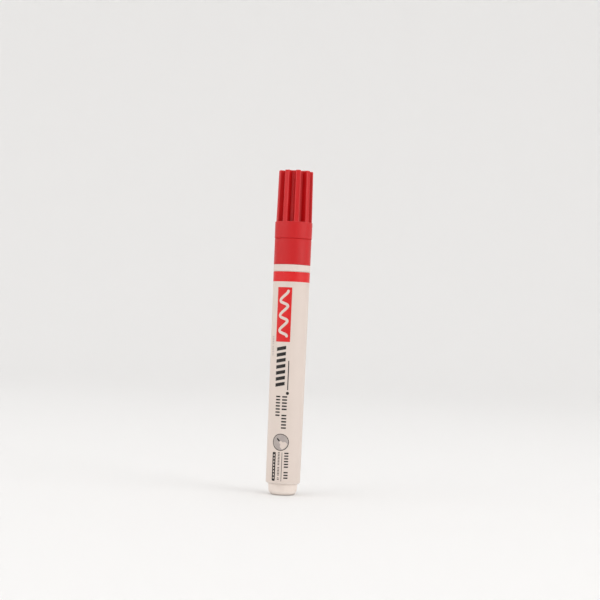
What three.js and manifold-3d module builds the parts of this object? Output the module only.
// A bullet-tip whiteboard marker, standing on its tail with its cap on.
// Millimetres, +Z up along the marker's axis, origin at the centre of the flat end that it stands on.
// The front of the marker, where its printed panel is, faces -Y.
import * as THREE from "three";
import { mergeVertices } from "three/addons/utils/BufferGeometryUtils.js";
import Module from "manifold-3d";

// Barrel: a tapered tube, open at both ends, with small ribs inside that centre the reservoir.
const barrelLength = 89.0;
const barrelFrontDiameter = 15.35;
const barrelRearDiameter = 14.5;
const barrelWall = 1.25;
const barrelShoulderRound = 0.9;
const centringRibCount = 6;
const centringRibWidth = 0.8;
const centringRibHeight = 0.2;

// End plug: the narrow tail that the marker stands on, and the hollow spigot that holds it in the barrel.
const tailLength = 4.8;
const tailDiameter = 12.4;
const tailTaper = 0.35; // on the diameter, from the barrel to the flat end
const tailCornerRound = 2.2;
const spigotLength = 7.0;
const spigotLeadIn = 0.2;
const plugWall = 1.3;

// Nib holder: the collar that shows under the cap, the land that the cap slides on, the shoulder, the
// neck that the cap seals on, and the nose that the nib comes out of.
const collarHeight = 2.8;
const collarProud = 0.075; // how far it stands out from the barrel
const collarRound = 0.25;
const holderTailLength = 7.0;
const holderWall = 1.2;
const holderLap = 0.3; // how far its rear end reaches in over the reservoir's fibre bundle
const shoulderLength = 6.5;
const neckWall = 1.1;
const noseLength = 3.5;
const noseWall = 0.8;
const beadHeight = 0.12; // of the snap bead on the land and the sealing bead on the neck
const webCount = 4;
const webThickness = 0.8;
const ventCount = 4;
const ventWidth = 0.7;
const ventDepth = 0.4;

// Nib: a bonded fibre rod with a bullet point in front and a cone behind.
const nibDiameter = 4.8;
const nibShowing = 6.5; // beyond the nose
const nibPointLength = 4.0;
const nibPointFlat = 1.1; // across the blunt end of the point
const nibReach = 6.5; // into the reservoir
const nibTailCone = 3.0;
const nibTailFlat = 1.6; // across the cone's blunt end

// Reservoir: a bundle of ink-soaked fibre in a thin film sleeve.
const filmThickness = 0.15;
const filmSetback = 1.0; // how much shorter the sleeve is than the bundle at each end

// Cap: a smooth skirt, a slightly wider band, and a fluted grip round a slim sealing chamber.
const skirtHeight = 11.15;
const skirtProud = 0.05; // how far it stands out from the barrel's front end
const skirtWall = 1.1;
const bandHeight = 6.85;
const bandProud = 0.175;
const bandStep = 0.15; // height of the small slope from skirt to band
const bandEdgeRound = 0.2;
const gripHeight = 21.6;
const gripInset = 0.075; // inside the barrel's front radius, at the band
const gripTopInset = 0.4; // and at the top
const capEdgeRound = 0.4;
const mouthRound = 0.3;
const capRoof = 1.5;
const coreWall = 1.1;
const ribCount = 9;
const ribThickness = 2.1;
const firstRibFromFront = 8.3; // degrees from the front, towards +X
const shoulderHeadroom = 2.45; // in the cap above the nib holder's shoulder
const tipHeadroom = 6.45; // in the sealing chamber above the nib

// Clearances.
const pressGap = 0.05; // round pieces that are pressed together
const slideGap = 0.07; // between the cap and what it slides on
const seatGap = 0.05; // between faces that rest on each other
const reservoirGap = 0.1; // round the reservoir, and at its ends

// Facets of round pieces, of rounded edges and of longer curves, and how far a cutting tool stands out.
const roundSegments = 48;
const edgeSegments = 3;
const curveSegments = 6;
const cutMargin = 1.0;

// Heights above the flat end.
const spigotEndZ = tailLength + spigotLength;
const barrelRearZ = tailLength + seatGap;
const barrelFrontZ = barrelRearZ + barrelLength;
const collarRearZ = barrelFrontZ + seatGap;
const collarFrontZ = collarRearZ + collarHeight;
const holderRearZ = collarRearZ - holderTailLength;
const capMouthZ = collarFrontZ + seatGap;
const bandRearZ = capMouthZ + skirtHeight;
const bandFrontZ = bandRearZ + bandHeight;
const capTopZ = bandFrontZ + gripHeight;
const boreTopZ = bandFrontZ - capRoof;
const ceilingZ = capTopZ - capRoof;
const neckRearZ = boreTopZ - shoulderHeadroom;
const landFrontZ = neckRearZ - shoulderLength;
const nibTipZ = ceilingZ - tipHeadroom;
const noseZ = nibTipZ - nibShowing;
const neckFrontZ = noseZ - noseLength;
const reservoirRearZ = spigotEndZ + reservoirGap;
const reservoirFrontZ = holderRearZ - reservoirGap;
const nibRearZ = reservoirFrontZ - nibReach;

// The barrel's outer radius at a height, along its taper, and its bore there.
function barrelRadiusAt(z) {
  const share = (z - barrelRearZ) / barrelLength;
  return THREE.MathUtils.lerp(barrelRearDiameter, barrelFrontDiameter, share) / 2;
}

function boreRadiusAt(z) {
  return barrelRadiusAt(z) - barrelWall;
}

// The narrower end of a stretch of the bore, whichever way the barrel tapers.
function narrowestBore(rearZ, frontZ) {
  return Math.min(boreRadiusAt(rearZ), boreRadiusAt(frontZ));
}

// Radii that one piece takes from another.
const barrelFrontRadius = barrelFrontDiameter / 2;
const nibRadius = nibDiameter / 2;
const nibTailRadius = nibTailFlat / 2;
const nibBoreRadius = nibRadius + pressGap;
const neckRadius = nibBoreRadius + neckWall;
const skirtRadius = barrelFrontRadius + skirtProud;
const bandRadius = barrelFrontRadius + bandProud;
const capBoreRadius = skirtRadius - skirtWall;
const landRadius = capBoreRadius - slideGap - beadHeight;
const chamberRadius = neckRadius + beadHeight + slideGap;
const coreRadius = chamberRadius + coreWall;
const spigotRadius = narrowestBore(barrelRearZ, spigotEndZ) - pressGap;
const holderTailRadius = narrowestBore(holderRearZ, barrelFrontZ) - pressGap;
const ribTipRadius = narrowestBore(barrelRearZ, barrelFrontZ) - centringRibHeight;
const filmRadius = ribTipRadius - reservoirGap;
const fibreRadius = filmRadius - filmThickness - pressGap;

const wasm = await Module();
wasm.setup();

// Points [radius, height] on an arc of a circle or an ellipse, from one angle to another in degrees.
function arc(centre, radiusAcross, radiusUp, fromDegrees, toDegrees, segments = edgeSegments) {
  const points = [];
  for (let i = 0; i <= segments; i++) {
    const degrees = THREE.MathUtils.lerp(fromDegrees, toDegrees, i / segments);
    const angle = THREE.MathUtils.degToRad(degrees);
    points.push([
      centre[0] + radiusAcross * Math.cos(angle),
      centre[1] + radiusUp * Math.sin(angle),
    ]);
  }
  return points;
}

// The rounded edges where a side at a radius meets a flat end at a height: the end below it, and above.
function rearEdge(radius, z, round) {
  return arc([radius - round, z + round], round, round, -90, 0);
}

function frontEdge(radius, z, round) {
  return arc([radius - round, z - round], round, round, 0, 90);
}

// A low bead on a side at a radius, centred at a height.
function bead(radius, z) {
  return [
    [radius, z - 3 * beadHeight],
    [radius + beadHeight, z - beadHeight],
    [radius + beadHeight, z + beadHeight],
    [radius, z + 3 * beadHeight],
  ];
}

// Turns a profile of [radius, height] points about the Z axis. It runs anticlockwise, with the material
// on its left. It starts and ends on the axis, or closes on itself.
function revolve(profile) {
  const points = profile.map(([radius, z]) => new THREE.Vector2(radius, z));
  if (profile[0][0] > 0) {
    points.push(points[0].clone());
  }
  return new THREE.LatheGeometry(points, roundSegments).rotateX(Math.PI / 2);
}

// A flat plate that stands along the axis: an outline of [radius, height] points, a thickness, and the
// angle round the axis of the half plane that it lies in.
function plate(outline, thickness, angle) {
  const shape = new THREE.Shape(outline.map(([radius, z]) => new THREE.Vector2(radius, z)));
  const settings = { depth: thickness, bevelEnabled: false };
  return new THREE.ExtrudeGeometry(shape, settings)
    .translate(0, 0, -thickness / 2)
    .rotateX(Math.PI / 2)
    .rotateZ(angle);
}

// The angles of copies set evenly round the axis, from a start angle.
function evenly(count, start) {
  return Array.from({ length: count }, (_, i) => start + (i / count) * 2 * Math.PI);
}

// A closed geometry as a manifold solid, ready to be cut or joined.
function solid(geometry) {
  const bare = geometry.clone();
  bare.deleteAttribute("normal");
  bare.deleteAttribute("uv");
  const merged = mergeVertices(bare, 1e-4);
  return new wasm.Manifold(
    new wasm.Mesh({
      numProp: 3,
      vertProperties: merged.attributes.position.array,
      triVerts: new Uint32Array(merged.index.array),
    }),
  );
}

// A manifold solid as a geometry with flat facets.
function geometryOf(manifold) {
  const { vertProperties, triVerts } = manifold.getMesh();
  const indexed = new THREE.BufferGeometry();
  indexed.setAttribute("position", new THREE.BufferAttribute(vertProperties, 3));
  indexed.setIndex(new THREE.BufferAttribute(triVerts, 1));
  const flat = indexed.toNonIndexed();
  flat.computeVertexNormals();
  return flat;
}

// The end plug: a rounded tail with a flat end, and a cup inside that is open towards the reservoir.
function endPlug() {
  const tailRadius = tailDiameter / 2;
  const endRadius = tailRadius - tailTaper / 2;
  const cupRadius = Math.min(spigotRadius, endRadius) - plugWall;
  const cupRound = Math.min(tailCornerRound, cupRadius / 2);
  return revolve([
    [0, 0],
    ...rearEdge(endRadius, 0, tailCornerRound),
    [tailRadius, tailLength],
    [spigotRadius, tailLength],
    [spigotRadius, spigotEndZ - 2 * spigotLeadIn],
    [spigotRadius - spigotLeadIn, spigotEndZ],
    [cupRadius, spigotEndZ],
    [cupRadius, plugWall + cupRound],
    [cupRadius - cupRound, plugWall],
    [0, plugWall],
  ]);
}

// The barrel: a tapered tube with a rounded shoulder at its tail, and the centring ribs inside.
function barrel() {
  const tube = revolve([
    [boreRadiusAt(barrelRearZ), barrelRearZ],
    ...rearEdge(barrelRadiusAt(barrelRearZ), barrelRearZ, barrelShoulderRound),
    [barrelFrontRadius, barrelFrontZ],
    [boreRadiusAt(barrelFrontZ), barrelFrontZ],
  ]);
  const rib = [
    [ribTipRadius, reservoirRearZ],
    [boreRadiusAt(reservoirRearZ) + barrelWall / 2, reservoirRearZ],
    [boreRadiusAt(reservoirFrontZ) + barrelWall / 2, reservoirFrontZ],
    [ribTipRadius, reservoirFrontZ],
  ];
  let made = solid(tube);
  for (const angle of evenly(centringRibCount, 0)) {
    made = made.add(solid(plate(rib, centringRibWidth, angle)));
  }
  return geometryOf(made);
}

// The nib holder: hollow behind, with a tube down its middle that grips the nib, webs that join the tube
// to the outer wall, and narrow vents along the nib that let air back into the reservoir.
function nibHolder() {
  const collarRadius = barrelFrontRadius + collarProud;
  const tubeRadius = nibBoreRadius + holderWall;
  const hollowRadius = Math.min(
    holderTailRadius - holderWall, landRadius - holderWall, fibreRadius - holderLap,
  );
  const noseRadius = nibBoreRadius + noseWall;
  const tubeRearZ = holderRearZ + holderWall;
  const hollowTopZ = neckRearZ - 2 * holderWall;
  const snapBeadZ = (collarFrontZ + landFrontZ) / 2;
  const sealBeadZ = (neckRearZ + neckFrontZ) / 2;
  const outerShoulder = arc(
    [neckRadius, landFrontZ], landRadius - neckRadius, shoulderLength, 0, 90, curveSegments,
  );
  const innerShoulder = arc(
    [tubeRadius, landFrontZ], hollowRadius - tubeRadius, hollowTopZ - landFrontZ, 90, 0,
  );
  const shell = revolve([
    [hollowRadius, holderRearZ],
    [holderTailRadius - collarRound, holderRearZ],
    [holderTailRadius, holderRearZ + collarRound],
    [holderTailRadius, collarRearZ],
    ...rearEdge(collarRadius, collarRearZ, collarRound),
    ...frontEdge(collarRadius, collarFrontZ, collarRound),
    [landRadius, collarFrontZ],
    ...bead(landRadius, snapBeadZ),
    ...outerShoulder,
    ...bead(neckRadius, sealBeadZ),
    [neckRadius, neckFrontZ],
    [noseRadius, noseZ - collarRound],
    [noseRadius - collarRound, noseZ],
    [nibBoreRadius, noseZ],
    [nibBoreRadius, tubeRearZ],
    [tubeRadius, tubeRearZ],
    ...innerShoulder,
  ]);
  const web = [
    [tubeRadius - holderWall / 2, tubeRearZ + holderWall],
    [hollowRadius + holderWall / 2, tubeRearZ + holderWall],
    [hollowRadius + holderWall / 2, landFrontZ],
    [tubeRadius - holderWall / 2, landFrontZ],
  ];
  const vent = [
    [nibRadius / 2, holderRearZ],
    [nibBoreRadius + ventDepth, holderRearZ],
    [nibBoreRadius + ventDepth, noseZ + cutMargin],
    [nibRadius / 2, noseZ + cutMargin],
  ];
  let made = solid(shell);
  for (const angle of evenly(webCount, Math.PI / webCount)) {
    made = made.add(solid(plate(web, webThickness, angle)));
  }
  for (const angle of evenly(ventCount, 0)) {
    made = made.subtract(solid(plate(vent, ventWidth, angle)));
  }
  return geometryOf(made);
}

// The nib: a rod with a cone behind, and half an ellipse with a blunt end as its point.
function nib() {
  const bluntRadius = nibPointFlat / 2;
  const pointRearZ = nibTipZ - nibPointLength;
  return revolve([
    [0, nibRearZ],
    [nibTailRadius, nibRearZ],
    [nibRadius, nibRearZ + nibTailCone],
    ...arc([bluntRadius, pointRearZ], nibRadius - bluntRadius, nibPointLength, 0, 90, curveSegments),
    [0, nibTipZ],
  ]);
}

// The reservoir's fibre bundle, with the socket that the nib's tail has pushed into its front end.
function reservoirCore() {
  return revolve([
    [0, reservoirRearZ],
    [fibreRadius, reservoirRearZ],
    [fibreRadius, reservoirFrontZ],
    [nibBoreRadius, reservoirFrontZ],
    [nibBoreRadius, nibRearZ + nibTailCone],
    [nibTailRadius + pressGap, nibRearZ - seatGap],
    [0, nibRearZ - seatGap],
  ]);
}

// The film sleeve round the fibre bundle.
function reservoirFilm() {
  return revolve([
    [filmRadius - filmThickness, reservoirRearZ + filmSetback],
    [filmRadius, reservoirRearZ + filmSetback],
    [filmRadius, reservoirFrontZ - filmSetback],
    [filmRadius - filmThickness, reservoirFrontZ - filmSetback],
  ]);
}

// The section of one flute: the space between two ribs with parallel sides, outside the round core.
function fluteShape() {
  const halfPitch = Math.PI / ribCount;
  const halfRib = ribThickness / 2;
  const floorHalfAngle = halfPitch - Math.asin(halfRib / coreRadius);
  // A rib's side is parallel to the rib's own radius, half a rib away from it.
  const reach = bandRadius + cutMargin;
  const outerX = reach * Math.cos(halfPitch) + halfRib * Math.sin(halfPitch);
  const outerY = reach * Math.sin(halfPitch) - halfRib * Math.cos(halfPitch);
  const shape = new THREE.Shape();
  shape.moveTo(outerX, -outerY);
  shape.lineTo(outerX, outerY);
  shape.absarc(0, 0, coreRadius, floorHalfAngle, -floorHalfAngle, true);
  return shape;
}

// The cap: turned outside and inside, with the flutes cut down to the band.
function cap() {
  const gripBaseRadius = barrelFrontRadius - gripInset;
  const bandRound = Math.min(bandEdgeRound, bandRadius - gripBaseRadius);
  const turned = revolve([
    [0, ceilingZ],
    [chamberRadius - capEdgeRound, ceilingZ],
    [chamberRadius, ceilingZ - capEdgeRound],
    [chamberRadius, boreTopZ + capEdgeRound],
    [chamberRadius + capEdgeRound, boreTopZ],
    [capBoreRadius - capEdgeRound, boreTopZ],
    [capBoreRadius, boreTopZ - capEdgeRound],
    [capBoreRadius, capMouthZ + mouthRound],
    [capBoreRadius + mouthRound, capMouthZ],
    ...rearEdge(skirtRadius, capMouthZ, mouthRound),
    [skirtRadius, bandRearZ - bandStep],
    [bandRadius, bandRearZ],
    ...frontEdge(bandRadius, bandFrontZ, bandRound),
    [gripBaseRadius, bandFrontZ],
    ...frontEdge(barrelFrontRadius - gripTopInset, capTopZ, capEdgeRound),
    [0, capTopZ],
  ]);
  const flute = new THREE.ExtrudeGeometry(fluteShape(), {
    depth: gripHeight + cutMargin,
    bevelEnabled: false,
    curveSegments: edgeSegments,
  }).translate(0, 0, bandFrontZ);
  const front = -Math.PI / 2;
  const firstRib = front + THREE.MathUtils.degToRad(firstRibFromFront);
  let made = solid(turned);
  for (const angle of evenly(ribCount, firstRib + Math.PI / ribCount)) {
    made = made.subtract(solid(flute.clone().rotateZ(angle)));
  }
  return geometryOf(made);
}

// Materials: polypropylene mouldings, bonded fibre and polyester film.
function material(color, roughness) {
  return new THREE.MeshStandardMaterial({ color, roughness, metalness: 0 });
}

const whitePlastic = material(0xe9e2d8, 0.4);
const redPlastic = material(0xc8282c, 0.35);
const inkedNib = material(0xb3161c, 0.85);
const inkedFibre = material(0xa8141b, 0.95);
const clearFilm = material(0xd8d2cc, 0.2);

function piece(name, geometry, itsMaterial) {
  const mesh = new THREE.Mesh(geometry, itsMaterial);
  mesh.name = name;
  return mesh;
}

const marker = new THREE.Group();
marker.add(
  piece("end_plug", endPlug(), whitePlastic),
  piece("barrel", barrel(), whitePlastic),
  piece("reservoir_core", reservoirCore(), inkedFibre),
  piece("reservoir_film", reservoirFilm(), clearFilm),
  piece("nib_holder", nibHolder(), whitePlastic),
  piece("nib", nib(), inkedNib),
  piece("cap", cap(), redPlastic),
);

export default marker;
